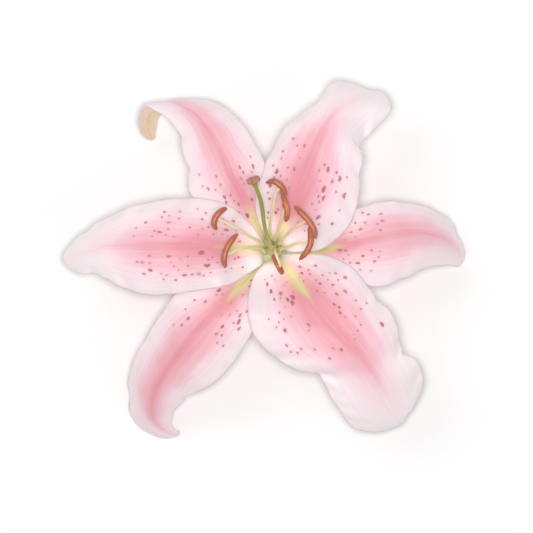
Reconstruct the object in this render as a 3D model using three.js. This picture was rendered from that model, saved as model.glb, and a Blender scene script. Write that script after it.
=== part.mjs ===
// A cut lily bloom, picked with a short stub of its pedicel and laid face up.
//
// Three broad inner petals overlap three narrower outer sepals. All six rise from the receptacle as a funnel,
// arch over, and recurve, and the bloom rests on the tips of the three sepals. Seven stamens and one pistil
// stand in the throat. Units are millimetres, +Z is up, and the surface that the bloom lies on is z = 0.
//
// The bloom is drawn about its own axis, and at the end the group is shifted so that the origin is
// the middle of its footprint.

import * as THREE from "three";

// ---- Driving dimensions -------------------------------------------------------------------------------

const BLOOM_WIDTH = 183; // tip to tip, along X
const BLOOM_CREST = 49; // height of the inner petals' highest ring above the surface
const STAMEN_HEIGHT = 72; // height of the filaments' tips above the surface

const TEPAL_THICKNESS = 1.0;
const PETAL_CLAW_SPAN = 84; // degrees of the receptacle's rim that a petal's base wraps round
const SEPAL_CLAW_SPAN = 68;

const OVARY_RADIUS = 2;
const OVARY_LENGTH = 18;
const STYLE_BASE_RADIUS = 1.15;
const STYLE_TIP_RADIUS = 0.9;
const STYLE_RISE = 52; // from the top of the ovary to the stigma
const STIGMA_RADIUS = 3;
const STIGMA_LENGTH = 2.6;

const FILAMENT_BASE_RADIUS = 0.8;
const FILAMENT_TIP_RADIUS = 0.5;
const ANTHER_RADIUS = 1.4;

const PEDICEL_RADIUS = 3.2;
const PEDICEL_CLEARANCE = 1.2; // the cut end hangs just clear of the surface
const PEDICEL_LENGTH = 5.5;
const RECEPTACLE_HEIGHT = 3;

const GAP = 0.35; // between pieces that meet
const WHORL_GAP = 0.75; // between the petals' bases and the sepals' bases
const SEAT_GAP = 0.5; // under the organs' bases, which lean outwards

// ---- Sizes that follow ---------------------------------------------------------------------------------

const DRAWN_WIDTH = 183; // the rails below are drawn for a bloom of this width, crest and stamen height
const DRAWN_CREST = 49;
const DRAWN_STAMEN_HEIGHT = 72;
const PLAN_SCALE = BLOOM_WIDTH / DRAWN_WIDTH;
const HEIGHT_SCALE = BLOOM_CREST / DRAWN_CREST;

const RECEPTACLE_TOP = PEDICEL_CLEARANCE + PEDICEL_LENGTH + RECEPTACLE_HEIGHT;
const SEAT = RECEPTACLE_TOP + SEAT_GAP; // every organ starts here
const FILAMENT_RING = OVARY_RADIUS + GAP + FILAMENT_BASE_RADIUS;
const PETAL_RING = FILAMENT_RING + FILAMENT_BASE_RADIUS + GAP + TEPAL_THICKNESS / 2;
const SEPAL_RING = PETAL_RING + TEPAL_THICKNESS + WHORL_GAP;
const RECEPTACLE_RADIUS = SEPAL_RING + TEPAL_THICKNESS / 2 + GAP;

// ---- Colours -------------------------------------------------------------------------------------------

const finish = (color, roughness) => new THREE.MeshStandardMaterial({ color, roughness, metalness: 0 });
const PETAL_PINK = finish(0xf6c3cd, 0.5);
const SEPAL_PINK = finish(0xf3b4c0, 0.5);
const STEM_GREEN = finish(0x9fb36a, 0.55);
const STYLE_GREEN = finish(0xa9ad55, 0.45);
const FILAMENT_CREAM = finish(0xe6dc9c, 0.5);
const ANTHER_RUST = finish(0xcc7350, 0.85);
const STIGMA_BROWN = finish(0xbd7c66, 0.6);

// ---- Geometry helpers ----------------------------------------------------------------------------------

// A solid from closed rings of points, each ring with the same count, running anticlockwise about the way
// that the rings follow each other. cap(first, count) lists an end's triangles, as if it faced the last ring.
function loft(rings, cap) {
  const count = rings[0].length;
  const positions = rings.flat().flatMap((p) => [p.x, p.y, p.z]);
  const index = [];
  for (let i = 0; i + 1 < rings.length; i++) {
    for (let j = 0; j < count; j++) {
      const a = i * count + j;
      const b = i * count + ((j + 1) % count);
      index.push(a, b, b + count, a, b + count, a + count);
    }
  }
  const last = (rings.length - 1) * count;
  for (const [a, b, c] of cap(0, count)) index.push(a, c, b);
  for (const [a, b, c] of cap(last, count)) index.push(a, b, c);
  return new THREE.BufferGeometry()
    .setAttribute("position", new THREE.Float32BufferAttribute(positions, 3))
    .setIndex(index);
}

// The cap of a round ring.
function fanCap(first, count) {
  const triangles = [];
  for (let j = 1; j + 1 < count; j++) triangles.push([first, first + j, first + j + 1]);
  return triangles;
}

// The cap of a thin strip, whose ring runs out along one face and back along the other.
function stripCap(first, count) {
  const triangles = [];
  for (let j = 0; j + 1 < count / 2; j++) {
    const near = first + j;
    const far = first + count - 1 - j;
    triangles.push([near, near + 1, far - 1], [near, far - 1, far]);
  }
  return triangles;
}

const LEVEL = new THREE.Vector3(0, 1, 0);
const UPRIGHT = new THREE.Vector3(0, 0, 1);

// A round organ along a curve, as thick as radiusAt(t) says. aside is a direction that the curve never takes.
function organ(curve, radiusAt, { steps = 14, sides = 8, aside = LEVEL } = {}) {
  const rings = [];
  for (let i = 0; i <= steps; i++) {
    const t = i / steps;
    const centre = curve.getPoint(t);
    const along = curve.getTangent(t);
    const second = new THREE.Vector3().crossVectors(along, aside).normalize();
    const first = new THREE.Vector3().crossVectors(second, along);
    const ring = [];
    for (let j = 0; j < sides; j++) {
      const angle = (2 * Math.PI * j) / sides;
      ring.push(
        centre
          .clone()
          .addScaledVector(first, radiusAt(t) * Math.cos(angle))
          .addScaledVector(second, radiusAt(t) * Math.sin(angle)),
      );
    }
    rings.push(ring);
  }
  return loft(rings, fanCap);
}

const smooth = (points) => new THREE.CatmullRomCurve3(points);

function piece(name, geometry, material) {
  const mesh = new THREE.Mesh(geometry, material);
  mesh.name = name;
  return mesh;
}

// ---- The funnel ----------------------------------------------------------------------------------------

// Height of a whorl's funnel at a distance from the axis: it climbs steeply, levels off and then droops.
const FUNNEL_REACH = 95;
const PETAL_FUNNEL = { start: 5, foot: 10, climb: 42, ease: 13, droop: 14 };
const SEPAL_FUNNEL = { start: 6, foot: 8, climb: 40, ease: 13.5, droop: 36 };

const PETAL_WHORL = { funnel: PETAL_FUNNEL, ring: PETAL_RING, clawSpan: PETAL_CLAW_SPAN };
const SEPAL_WHORL = { funnel: SEPAL_FUNNEL, ring: SEPAL_RING, clawSpan: SEPAL_CLAW_SPAN };

function funnelHeight({ start, foot, climb, ease, droop }, radius) {
  const out = Math.max(radius - start, 0);
  return foot + climb * (1 - Math.exp(-out / ease)) - droop * (radius / FUNNEL_REACH) ** 3;
}

// ---- Tepals --------------------------------------------------------------------------------------------

// A tepal is lofted across three rails that run from its base to its tip: its left edge, midrib and right edge,
// left and right as seen from the axis. Each point is [x, y, lift]: lift is its height above the whorl's funnel.
// base is the direction that the claw leaves the axis in, in degrees from +X. puff is how far each half
// swells between the midrib and the edge, which leaves the midrib in a groove.
const PETALS = {
  petal_left: {
    base: 178,
    puff: 1.8,
    left: [
      [-5, -6.5, 0], [-10, -10, -0.5], [-20, -15.8, -1], [-35, -18.5, -2.5], [-50, -20.3, -4],
      [-64, -18, -5], [-76, -12.4, -4], [-86.5, -10.4, -9], [-92.9, -7.3, -13],
    ],
    mid: [
      [-8, 0.3, 0], [-14, 0.7, 0], [-24, 1.2, 0], [-37, 1.7, 0], [-50, 2, 0],
      [-63, 2.2, -1], [-76, 1.5, -3], [-87, -1.5, -7], [-94, -4, -12.5],
    ],
    right: [
      [-5.5, 6, 0], [-10.5, 12.3, -0.5], [-19.5, 20, -1], [-33, 23.3, -2.5], [-48, 22.7, -4],
      [-62, 19.5, -4], [-76, 13.8, -6], [-87.5, 5.8, -9], [-94, -1.5, -13],
    ],
  },
  petal_upper_right: {
    base: 60,
    puff: 1.8,
    left: [
      [-3, 7.3, 0], [-6.3, 14, -0.5], [-7.6, 22, -1], [-4.5, 34, -2], [0, 45, -4],
      [8, 56.8, -5], [19, 65.5, -3], [28, 75.6, -8], [37, 74.6, -12], [40.5, 73, -13],
    ],
    mid: [
      [4, 7, 0], [7, 13, 0], [10.5, 22, 0], [14.5, 33, 0], [18.5, 43, 0],
      [23, 53, 0], [29, 62, -1], [36.5, 68, -4], [42, 71, -9], [44, 71.6, -11],
    ],
    right: [
      [8, -0.6, 0], [14, -0.6, -0.5], [24, 1.2, -1], [35.5, 12, -2], [39.3, 27, -4],
      [41, 41, -2], [44, 51.5, -6], [53.6, 63, -5], [51.5, 69.6, -9], [47.5, 72, -11],
    ],
  },
  petal_lower_right: {
    base: -54,
    puff: 1.8,
    left: [
      [7.5, -2, 0], [14, -1.9, -0.5], [25, -2.6, -1], [36, -8, -2], [44.5, -18.5, -4], [54, -28.6, -3],
      [58.6, -43.5, -5], [66, -51.2, -3], [68, -60, -7], [63, -72, -12], [59.3, -77.6, -15],
    ],
    mid: [
      [4.5, -6.5, 0], [8.5, -11.5, 0], [15.5, -20, 0], [22.5, -29, 0], [30, -37.5, 0], [37.5, -45.5, 0],
      [43.5, -53, -1], [49, -61.5, -3], [53.5, -69, -6], [56.5, -75, -10], [58, -78.3, -14.5],
    ],
    right: [
      [-4, -7, 0], [-8.5, -13, -0.5], [-11, -24, -1], [-9, -36.5, -2], [0.5, -47.5, -4], [12, -54.2, -2],
      [20.5, -56, -5], [28, -69, -5], [37, -80, -9], [48.5, -81.8, -13], [56.5, -79.3, -15],
    ],
  },
};

const SEPALS = {
  sepal_upper_left: {
    base: 119,
    puff: 1.2,
    left: [
      [-8, 5, 0], [-17, 12, -0.5], [-27, 18, -1], [-36.5, 25, -1.5], [-38.3, 34.5, -2], [-40.3, 45, -1],
      [-44, 55.5, 2], [-50.5, 62, 6], [-57.3, 64.2, 8], [-60.3, 57, 0.5], [-57.8, 50.5, -12],
    ],
    mid: [
      [-4.5, 8, 0], [-9, 16, 0], [-13.5, 24.5, 0], [-18, 33, 0], [-22, 42, 0], [-27, 52, 0],
      [-35, 62, 0], [-46, 66.4, 0], [-55.2, 63, -2], [-57, 56, -11.5], [-55.5, 50, -22],
    ],
    right: [
      [0, 9.5, 0], [0, 18, -0.5], [-0.5, 28, -1], [-3.5, 40, -2], [-9.5, 51, -2], [-18, 61.5, -3],
      [-29.5, 68.3, -5], [-41, 66, -11], [-50.8, 60, -15], [-52.4, 54.5, -22.5], [-53, 49.5, -31.5],
    ],
  },
  sepal_right: {
    base: 2,
    puff: 1.2,
    left: [
      [7, 4.5, 0], [14, 8, -0.5], [24, 12.5, -1], [36, 17.5, -2], [48, 21.3, -3],
      [60, 21.8, -2], [71, 18.8, -3], [80, 13, -7], [85.5, 4.5, -12.5], [88.3, -2.5, -17.4],
    ],
    mid: [
      [9, 0.3, 0], [17, 0.3, 0], [27, 1, 0], [38, 3, 0], [49, 5.5, 0],
      [60, 7.3, 0], [70, 7.3, 0], [78, 5, -2], [83.5, 0.5, -9.5], [86.5, -5.5, -19.5],
    ],
    right: [
      [7.5, -4, 0], [15, -7, -0.5], [26, -10.5, -1], [37, -14, -2], [47, -16.5, -3],
      [57, -14.3, -2], [67, -9, -2], [75, -7, -3], [81.5, -6.8, -10.5], [85, -8.2, -21.5],
    ],
  },
  sepal_lower_left: {
    base: -130,
    puff: 1.2,
    left: [
      [-2.5, -8.5, 0], [-4, -17, -0.5], [-6, -27, -1], [-9, -36.5, -2], [-15.6, -48, -3], [-24.2, -58.4, -2],
      [-34.5, -64.2, -4], [-42.2, -70.2, -5], [-45.6, -77.8, -7], [-43.6, -81.6, -10], [-41.4, -82, -12.6],
    ],
    mid: [
      [-6, -7, 0], [-12, -14, 0], [-19, -21.5, 0], [-27, -29.5, 0], [-35, -38, 0], [-42.5, -47, 0],
      [-49, -56.5, 0], [-53.8, -67, 0], [-53.5, -77, -3], [-46.5, -83.2, -8], [-42, -83, -12.6],
    ],
    right: [
      [-9, -4.5, 0], [-19, -9.5, -0.5], [-31, -15, -1], [-43, -19.8, -2], [-51, -30, -3], [-58, -42, -2],
      [-64, -54, -3], [-65.2, -66, -3], [-61.5, -79, -3.5], [-50, -85.4, -6.7], [-41.8, -84.4, -12.35],
    ],
  },
};

const TEPAL_STEPS_ALONG = 30;
const TEPAL_STEPS_ACROSS = 8;

// A rail in space: its base on the receptacle, then its drawn points.
function rail(points, funnel, foot) {
  const drawn = points.map(
    ([x, y, lift]) =>
      new THREE.Vector3(
        x * PLAN_SCALE,
        y * PLAN_SCALE,
        (funnelHeight(funnel, Math.hypot(x, y)) + lift) * HEIGHT_SCALE,
      ),
  );
  return smooth([foot, ...drawn]);
}

// The tepal's middle surface: a parabola through the three rails, plus the puff.
function tepalSurface({ base, puff, left, mid, right }, { funnel, ring, clawSpan }) {
  const foot = (side) => {
    const angle = THREE.MathUtils.degToRad(base + (side * clawSpan) / 2);
    return new THREE.Vector3(ring * Math.cos(angle), ring * Math.sin(angle), SEAT);
  };
  const rails = [rail(left, funnel, foot(1)), rail(mid, funnel, foot(0)), rail(right, funnel, foot(-1))];

  const spine = (t, v) => {
    const [a, m, b] = rails.map((r) => r.getPoint(t));
    const slope = b.clone().sub(a).multiplyScalar(v / 2);
    const bend = a.add(b).multiplyScalar(0.5).sub(m).multiplyScalar(v * v);
    return m.clone().add(slope).add(bend);
  };
  const normal = (t, v) => {
    const step = 0.01;
    const along = spine(Math.min(t + step, 1), v).sub(spine(Math.max(t - step, 0), v));
    const across = spine(t, v + step).sub(spine(t, v - step));
    return across.cross(along).normalize();
  };
  return (t, v) => {
    const swell = puff * Math.sin(Math.PI * t) ** 0.5 * 4 * Math.abs(v) * (1 - Math.abs(v));
    const up = normal(t, v);
    return { point: spine(t, v).addScaledVector(up, swell), up };
  };
}

function tepal(shape, whorl) {
  const at = tepalSurface(shape, whorl);
  const rings = [];
  for (let i = 0; i <= TEPAL_STEPS_ALONG; i++) {
    const upper = [];
    const lower = [];
    for (let j = 0; j <= TEPAL_STEPS_ACROSS; j++) {
      const { point, up } = at(i / TEPAL_STEPS_ALONG, (2 * j) / TEPAL_STEPS_ACROSS - 1);
      upper.push(point.clone().addScaledVector(up, TEPAL_THICKNESS / 2));
      lower.push(point.clone().addScaledVector(up, -TEPAL_THICKNESS / 2));
    }
    rings.push([...upper, ...lower.reverse()]);
  }
  return loft(rings, stripCap);
}

// ---- Stamens -------------------------------------------------------------------------------------------

// seat is the direction from the axis of a filament's foot, in degrees. filament lists the points it passes
// above its foot, and anther the points of the anther's curved spine from end to end. join is the share of
// the anther's length at which the filament meets it. Each point is [x, y, depth below the common height].
const STAMENS = [
  {
    seat: 115,
    filament: [[-0.8, 7, 36], [-0.9, 12, 22], [0.4, 19, 9]],
    anther: [[-2.7, 30, 1.4], [0.7, 30.6, -1], [3.2, 29.3, -2], [5.1, 27, -1], [6.4, 24.3, 1.4]],
    join: 0.7,
  },
  {
    seat: 75,
    filament: [[2, 6.5, 35], [3.4, 11, 22], [4.6, 15.5, 12]],
    anther: [[4.4, 25.4, 6.4], [5.6, 22.4, 4.2], [6.6, 18.9, 3], [6.8, 15.6, 3.8], [6.1, 12.6, 6]],
    join: 0.5,
  },
  {
    seat: 35,
    filament: [[4, 4, 37], [7.2, 7.4, 21], [10.6, 10.4, 9]],
    anther: [[10, 19.7, 1], [13, 16.6, -1], [16.5, 12.9, -1.6], [18.8, 8.8, -0.8], [19.6, 5, 1.4]],
    join: 0.45,
  },
  {
    seat: -8,
    filament: [[4.6, 0.7, 37], [7.6, 1.5, 23], [11.4, 3, 12]],
    anther: [[16.6, 10.6, 8], [17.3, 7, 5.4], [17.2, 3, 4], [15.5, -0.8, 4.6], [12.2, -4.5, 7]],
    join: 0.5,
  },
  {
    seat: -65,
    filament: [[1.6, -3.2, 47], [1.7, -1.9, 32], [1.5, -0.5, 14], [1.5, -1, 3], [2.2, -3.2, -2.4]],
    anther: [[0.3, -2.2, 6.6], [1.7, -4.9, 3.2], [3, -7.4, 2.2], [4, -9.3, 3.6], [4.6, -10.5, 6.8]],
    join: 0.48,
  },
  {
    seat: 158,
    filament: [[-5.4, 3.6, 38], [-10.5, 6.4, 23], [-16.6, 10, 12]],
    anther: [[-20.2, 18.8, 7.4], [-23, 17.2, 5], [-25.3, 14.4, 4], [-26, 11.5, 4.8], [-24.8, 9, 7.4]],
    join: 0.5,
  },
  {
    seat: 205,
    filament: [[-5, 0.6, 37], [-9, 1.3, 21], [-14, 0.8, 10]],
    anther: [[-15.3, 7.3, 4.6], [-18.4, 3.8, 2.4], [-20.8, -0.6, 1.2], [-21.5, -4.8, 1.8], [-20.7, -8, 4.4]],
    join: 0.55,
  },
];

// A named point of a stamen, in space.
function stamenPoint([x, y, depth]) {
  const height = STAMEN_HEIGHT - (depth * (STAMEN_HEIGHT - SEAT)) / (DRAWN_STAMEN_HEIGHT - SEAT);
  return new THREE.Vector3(x * PLAN_SCALE, y * PLAN_SCALE, height);
}

const antherSpine = ({ anther: points }) => smooth(points.map(stamenPoint));

// The filament meets the anther square to its length and stops just short of it, on the side that it comes from.
function filament(stamen) {
  const angle = THREE.MathUtils.degToRad(stamen.seat);
  const foot = new THREE.Vector3(FILAMENT_RING * Math.cos(angle), FILAMENT_RING * Math.sin(angle), SEAT);
  const passed = stamen.filament.map(stamenPoint);
  const spine = antherSpine(stamen);
  const joint = spine.getPoint(stamen.join);
  const back = passed.at(-1).clone().sub(joint).projectOnPlane(spine.getTangent(stamen.join)).normalize();
  const neck = joint.clone().addScaledVector(back, 2 * ANTHER_RADIUS);
  const tip = joint.clone().addScaledVector(back, ANTHER_RADIUS + GAP);
  return organ(smooth([foot, ...passed, neck, tip]), (t) =>
    THREE.MathUtils.lerp(FILAMENT_BASE_RADIUS, FILAMENT_TIP_RADIUS, t),
  );
}

// A curved, blunt-ended pod.
function anther(stamen) {
  const radiusAt = (t) => ANTHER_RADIUS * Math.max(1 - Math.abs(2 * t - 1) ** 4, 0.12) ** 0.5;
  return organ(antherSpine(stamen), radiusAt, { steps: 12, sides: 10, aside: UPRIGHT });
}

// ---- Pistil --------------------------------------------------------------------------------------------

const OVARY_TOP = SEAT + OVARY_LENGTH;

function ovary() {
  const shoulder = OVARY_LENGTH * 0.8;
  const profile = new THREE.SplineCurve([
    new THREE.Vector2(OVARY_RADIUS * 0.82, 0),
    new THREE.Vector2(OVARY_RADIUS, OVARY_LENGTH * 0.25),
    new THREE.Vector2(OVARY_RADIUS * 0.92, shoulder),
    new THREE.Vector2(STYLE_BASE_RADIUS, OVARY_LENGTH),
  ]).getPoints(10);
  const outline = [new THREE.Vector2(0, 0), ...profile, new THREE.Vector2(0, OVARY_LENGTH)];
  return new THREE.LatheGeometry(outline, 18).rotateX(Math.PI / 2).translate(0, 0, SEAT);
}

// The style's spine: [x, y, share of its rise].
const STYLE_SPINE = [
  [0, 0, 0], [0, 0.2, 0.03], [-0.9, 2.9, 0.17], [-2.6, 7.6, 0.36], [-3.6, 12.2, 0.53], [-4.1, 16.7, 0.68],
  [-4.9, 21.2, 0.84], [-6.2, 25.3, 0.955], [-7.2, 27.8, 0.988], [-7.8, 29.6, 1],
];
const STYLE_CURVE = smooth(
  STYLE_SPINE.map(
    ([x, y, share]) => new THREE.Vector3(x * PLAN_SCALE, y * PLAN_SCALE, OVARY_TOP + GAP + share * STYLE_RISE),
  ),
);

function style() {
  const radiusAt = (t) => THREE.MathUtils.lerp(STYLE_BASE_RADIUS, STYLE_TIP_RADIUS, Math.min(3 * t, 1));
  return organ(STYLE_CURVE, radiusAt, { steps: 20, sides: 10 });
}

// A shallow three-lobed head, square to the end of the style.
function stigma() {
  const LOBES = 3;
  const LOBE_DEPTH = 0.13;
  const rings = [];
  const heights = [0, 0.2, 0.45, 0.7, 0.9, 1];
  const widths = [0.45, 0.85, 1, 0.97, 0.75, 0.35];
  heights.forEach((height, i) => {
    const ring = [];
    const sides = 24;
    for (let j = 0; j < sides; j++) {
      const angle = (2 * Math.PI * j) / sides;
      const radius = STIGMA_RADIUS * widths[i] * (1 + LOBE_DEPTH * Math.cos(LOBES * angle));
      ring.push(new THREE.Vector3(radius * Math.cos(angle), radius * Math.sin(angle), height * STIGMA_LENGTH));
    }
    rings.push(ring);
  });
  return loft(rings, fanCap);
}

// ---- Receptacle and pedicel ----------------------------------------------------------------------------

// One piece: the cut stub of the pedicel, which flares into the receptacle.
function pedicel() {
  const shoulder = THREE.MathUtils.lerp(PEDICEL_RADIUS, RECEPTACLE_RADIUS, 0.45);
  const flare = new THREE.SplineCurve([
    new THREE.Vector2(PEDICEL_RADIUS, 0),
    new THREE.Vector2(PEDICEL_RADIUS, PEDICEL_LENGTH * 0.45),
    new THREE.Vector2(shoulder, PEDICEL_LENGTH),
    new THREE.Vector2(RECEPTACLE_RADIUS * 0.94, PEDICEL_LENGTH + RECEPTACLE_HEIGHT * 0.6),
    new THREE.Vector2(RECEPTACLE_RADIUS, PEDICEL_LENGTH + RECEPTACLE_HEIGHT),
  ]).getPoints(12);
  const outline = [new THREE.Vector2(0, 0), ...flare, new THREE.Vector2(0, PEDICEL_LENGTH + RECEPTACLE_HEIGHT)];
  return new THREE.LatheGeometry(outline, 24).rotateX(Math.PI / 2).translate(0, 0, PEDICEL_CLEARANCE);
}

// ---- The bloom -----------------------------------------------------------------------------------------

const bloom = new THREE.Group();
bloom.add(piece("pedicel", pedicel(), STEM_GREEN));
for (const [name, shape] of Object.entries(PETALS)) {
  bloom.add(piece(name, tepal(shape, PETAL_WHORL), PETAL_PINK));
}
for (const [name, shape] of Object.entries(SEPALS)) {
  bloom.add(piece(name, tepal(shape, SEPAL_WHORL), SEPAL_PINK));
}
STAMENS.forEach((stamen, i) => {
  bloom.add(piece(`filament_${i + 1}`, filament(stamen), FILAMENT_CREAM));
  bloom.add(piece(`anther_${i + 1}`, anther(stamen), ANTHER_RUST));
});
bloom.add(piece("ovary", ovary(), STEM_GREEN));
bloom.add(piece("style", style(), STYLE_GREEN));

const stigmaHead = piece("stigma", stigma(), STIGMA_BROWN);
stigmaHead.quaternion.setFromUnitVectors(UPRIGHT, STYLE_CURVE.getTangent(1));
stigmaHead.position.copy(STYLE_CURVE.getPoint(1)).addScaledVector(STYLE_CURVE.getTangent(1), GAP);
bloom.add(stigmaHead);

const box = new THREE.Box3().setFromObject(bloom);
bloom.position.set(-(box.min.x + box.max.x) / 2, -(box.min.y + box.max.y) / 2, -box.min.z);

export default bloom;
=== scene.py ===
# The looks of a cut lily bloom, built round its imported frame.
#
# Every part of the bloom gets a fine surface that stands in for its plain solid: two whorls of petals with a
# grooved midrib, ruffled margins, freckles and a green nectary, seven stamens dusted with pollen, and a
# pistil. Lengths in the tables are millimetres from the bloom's own axis, and MM turns them into metres.

import math

import bpy
import numpy as np
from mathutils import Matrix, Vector, noise


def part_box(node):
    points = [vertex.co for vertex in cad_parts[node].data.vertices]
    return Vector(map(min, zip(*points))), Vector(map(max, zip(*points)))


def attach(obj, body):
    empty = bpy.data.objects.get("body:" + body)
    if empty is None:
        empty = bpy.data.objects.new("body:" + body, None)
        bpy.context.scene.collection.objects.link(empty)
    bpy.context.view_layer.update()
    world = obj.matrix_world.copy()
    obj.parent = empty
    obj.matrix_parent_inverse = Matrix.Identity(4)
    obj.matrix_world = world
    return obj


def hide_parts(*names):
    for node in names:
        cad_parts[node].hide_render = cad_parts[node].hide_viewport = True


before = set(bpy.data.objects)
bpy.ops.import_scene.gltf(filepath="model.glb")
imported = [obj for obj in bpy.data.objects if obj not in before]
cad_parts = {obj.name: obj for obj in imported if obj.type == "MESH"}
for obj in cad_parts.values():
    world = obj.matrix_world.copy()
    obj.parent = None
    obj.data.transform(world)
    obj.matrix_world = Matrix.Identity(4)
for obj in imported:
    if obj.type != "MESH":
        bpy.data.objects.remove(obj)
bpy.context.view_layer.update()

MM = 0.001
OVARY_LOW, OVARY_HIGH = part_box("ovary")
PEDICEL_LOW, PEDICEL_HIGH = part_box("pedicel")
AXIS = np.array([(OVARY_LOW[0] + OVARY_HIGH[0]) / 2, (OVARY_LOW[1] + OVARY_HIGH[1]) / 2, 0]) / MM
SEAT = OVARY_LOW[2] / MM  # where every organ starts, above the surface

rng = np.random.default_rng(7)


# ---- Curves and lofts --------------------------------------------------------------------------------

def catmull(points, t):
    """Points at the shares t of a centripetal Catmull-Rom curve through the given points."""
    p = np.asarray(points, float)
    p = np.vstack([2 * p[0] - p[1], p, 2 * p[-1] - p[-2]])
    place = np.clip(np.asarray(t, float), 0, 1) * (len(p) - 3)
    i = np.minimum(place.astype(int), len(p) - 4)
    w = (place - i)[:, None]
    p0, p1, p2, p3 = p[i], p[i + 1], p[i + 2], p[i + 3]
    d0, d1, d2 = (
        np.maximum(np.linalg.norm(b - a, axis=1), 1e-6)[:, None] ** 0.5
        for a, b in ((p0, p1), (p1, p2), (p2, p3))
    )
    m1 = ((p1 - p0) / d0 - (p2 - p0) / (d0 + d1) + (p2 - p1) / d1) * d1
    m2 = ((p2 - p1) / d1 - (p3 - p1) / (d1 + d2) + (p3 - p2) / d2) * d1
    return (
        p1
        + m1 * w
        + (-3 * p1 + 3 * p2 - 2 * m1 - m2) * w**2
        + (2 * p1 - 2 * p2 + m1 + m2) * w**3
    )


def unit(a):
    return a / np.maximum(np.linalg.norm(a, axis=-1, keepdims=True), 1e-9)


def smoothstep(low, high, x):
    s = np.clip((x - low) / (high - low), 0, 1)
    return s * s * (3 - 2 * s)


def bell(x, width):
    return np.exp(-((x / width) ** 2))


def add_attribute(mesh, name, values):
    layer = mesh.attributes.new(name, "FLOAT", "POINT")
    layer.data.foreach_set("value", np.ravel(values).astype(np.float32))


def make_mesh(name, points, faces, attributes, uv=None):
    """A smooth mesh from points in millimetres, with one float attribute per name."""
    mesh = bpy.data.meshes.new(name)
    mesh.from_pydata((points * MM).tolist(), [], faces)
    for key, values in attributes.items():
        add_attribute(mesh, key, values)
    if uv is not None:
        layer = mesh.uv_layers.new(name="grain")
        corner = np.empty(len(mesh.loops), int)
        mesh.loops.foreach_get("vertex_index", corner)
        layer.data.foreach_set("uv", uv[corner].astype(np.float32).ravel())
    mesh.shade_smooth()
    mesh.validate()
    obj = bpy.data.objects.new(name, mesh)
    bpy.context.collection.objects.link(obj)
    return obj


def ring_faces(rings, count):
    """Quads of a loft with this many rings, and a cap on each end."""
    faces = []
    for i in range(rings - 1):
        for j in range(count):
            a, b = i * count + j, i * count + (j + 1) % count
            faces.append((a, b, b + count, a + count))
    faces.append(tuple(range(count - 1, -1, -1)))
    faces.append(tuple((rings - 1) * count + j for j in range(count)))
    return faces


def ring_angles(sides):
    return 2 * np.pi * np.arange(sides) / sides


def ring_uv(length, angles, radius):
    """Grain coordinates of an organ of this radius, mirrored on its far side so that they have no seam."""
    around = np.minimum(angles, 2 * np.pi - angles) * radius
    return np.stack([np.repeat(length, len(angles)), np.tile(around, len(length))], -1)


def settle(obj, material, slot, *nodes):
    """obj takes its material, rides with the bloom, and stands for these nodes."""
    obj.data.materials.append(material)
    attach(obj, "root")
    if nodes:
        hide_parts(*nodes)
    return obj


# ---- Shader helpers ----------------------------------------------------------------------------------

class Nodes:
    """A material's node tree, with a call for each kind of node that it needs."""

    def __init__(self, name):
        self.material = bpy.data.materials.new(name)
        self.material.use_nodes = True
        self.tree = self.material.node_tree
        self.shader = self.tree.nodes["Principled BSDF"]

    def node(self, kind, **inputs):
        made = self.tree.nodes.new(kind)
        for key, value in inputs.items():
            self.put(made.inputs[key.replace("_", " ")], value)
        return made

    def put(self, socket, value):
        if isinstance(value, bpy.types.NodeSocket):
            self.tree.links.new(value, socket)
        else:
            socket.default_value = value

    def attribute(self, name):
        made = self.tree.nodes.new("ShaderNodeAttribute")
        made.attribute_name = name
        return made.outputs["Fac"]

    def math(self, operation, a, b=0.0, clamp=False):
        made = self.tree.nodes.new("ShaderNodeMath")
        made.operation = operation
        made.use_clamp = clamp
        self.put(made.inputs[0], a)
        self.put(made.inputs[1], b)
        return made.outputs[0]

    def spread(self, value, low, high, to_low=0.0, to_high=1.0):
        made = self.node("ShaderNodeMapRange", Value=value)
        for key, number in (("From Min", low), ("From Max", high), ("To Min", to_low), ("To Max", to_high)):
            made.inputs[key].default_value = number
        return made.outputs["Result"]

    def mix(self, factor, a, b, blend="MIX"):
        made = self.tree.nodes.new("ShaderNodeMix")
        made.data_type = "RGBA"
        made.blend_type = blend
        self.put(made.inputs["Factor"], factor)
        self.put(made.inputs["A"], a)
        self.put(made.inputs["B"], b)
        return made.outputs["Result"]

    def grain(self, along, across):
        """Coordinates that run along and across an organ, in cycles per millimetre."""
        uv = self.tree.nodes.new("ShaderNodeUVMap")
        uv.uv_map = "grain"
        made = self.node("ShaderNodeMapping", Vector=uv.outputs["UV"], Scale=(along, across, 1))
        return made.outputs["Vector"]

    def place(self, scale):
        """Coordinates in the bloom's own space, in cycles per metre."""
        coordinates = self.tree.nodes.new("ShaderNodeTexCoord")
        made = self.node("ShaderNodeMapping", Vector=coordinates.outputs["Object"], Scale=(scale,) * 3)
        return made.outputs["Vector"]

    def noise(self, vector, scale, detail=3.0, roughness=0.55):
        inputs = dict(Vector=vector, Scale=scale, Detail=detail, Roughness=roughness)
        return self.node("ShaderNodeTexNoise", **inputs).outputs["Fac"]

    def cells(self, vector, scale):
        return self.node("ShaderNodeTexVoronoi", Vector=vector, Scale=scale).outputs["Distance"]

    def colour(self, value):
        self.put(self.shader.inputs["Base Color"], value)

    def roughness(self, pattern, smooth, rough):
        """Roughness that follows a pattern between its smoothest and its roughest places."""
        self.put(self.shader.inputs["Roughness"], self.spread(pattern, 0.3, 0.7, smooth, rough))

    def shine_through(self, weight, radius, scale_mm):
        self.shader.inputs["Subsurface Weight"].default_value = weight
        self.shader.inputs["Subsurface Radius"].default_value = radius
        self.shader.inputs["Subsurface Scale"].default_value = scale_mm * MM

    def bump(self, height, strength, distance_mm):
        made = self.node("ShaderNodeBump", Height=height, Strength=strength, Distance=distance_mm * MM)
        self.put(self.shader.inputs["Normal"], made.outputs["Normal"])


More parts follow.
